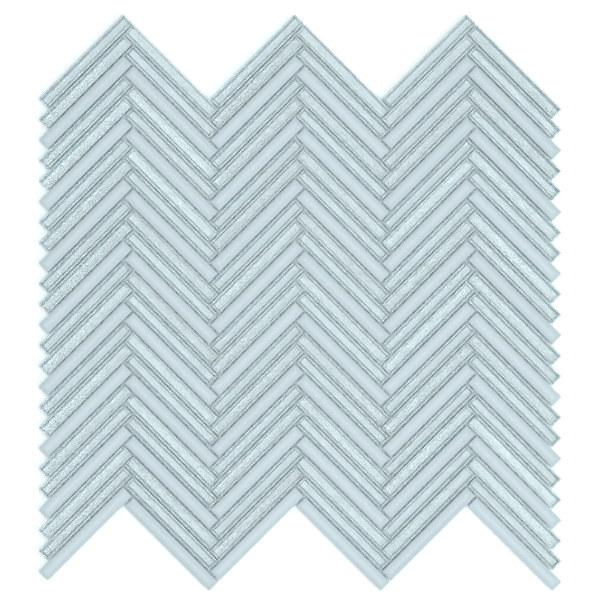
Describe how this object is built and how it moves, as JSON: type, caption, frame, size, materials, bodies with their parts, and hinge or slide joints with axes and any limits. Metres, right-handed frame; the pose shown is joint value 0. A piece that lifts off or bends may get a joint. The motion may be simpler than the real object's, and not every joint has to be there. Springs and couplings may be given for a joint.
{
  "type": "herringbone mosaic tile sheet",
  "caption": "Flat mosaic sheet of slim glass sticks in a herringbone, clear, glittering and opaque pale blue by turns, bonded to an open fibre mesh for setting on a wall.",
  "frame": {"origin": "under the middle of the sheet, on the surface that its mesh lies on", "axes": "+X across the sheet, +Y along its columns towards the peaks of the pattern, +Z out of its face"},
  "size_m": [0.2752, 0.3032, 0.0065],
  "materials": {
    "clear_glass": "polished clear glass over a plain pale-blue back coat",
    "glitter_glass": "polished clear glass over a silvery glittering back coat",
    "opaque_glass": "satin opaque pale-blue glass",
    "fibre_mesh": "matt white glass-fibre strands with a resin size"
  },
  "bodies": {
    "root": {"column_1_clear_sticks": "clear_glass", "column_1_glitter_sticks": "glitter_glass", "column_1_opaque_sticks": "opaque_glass", "column_2_clear_sticks": "clear_glass", "column_2_glitter_sticks": "glitter_glass", "column_2_opaque_sticks": "opaque_glass", "column_3_clear_sticks": "clear_glass", "column_3_glitter_sticks": "glitter_glass", "column_3_opaque_sticks": "opaque_glass", "column_4_clear_sticks": "clear_glass", "column_4_glitter_sticks": "glitter_glass", "column_4_opaque_sticks": "opaque_glass", "column_5_clear_sticks": "clear_glass", "column_5_glitter_sticks": "glitter_glass", "column_5_opaque_sticks": "opaque_glass", "column_6_clear_sticks": "clear_glass", "column_6_glitter_sticks": "glitter_glass", "column_6_opaque_sticks": "opaque_glass", "mesh_lengthwise_strands": "fibre_mesh", "mesh_crosswise_strands": "fibre_mesh"}
  },
  "joints": []
}
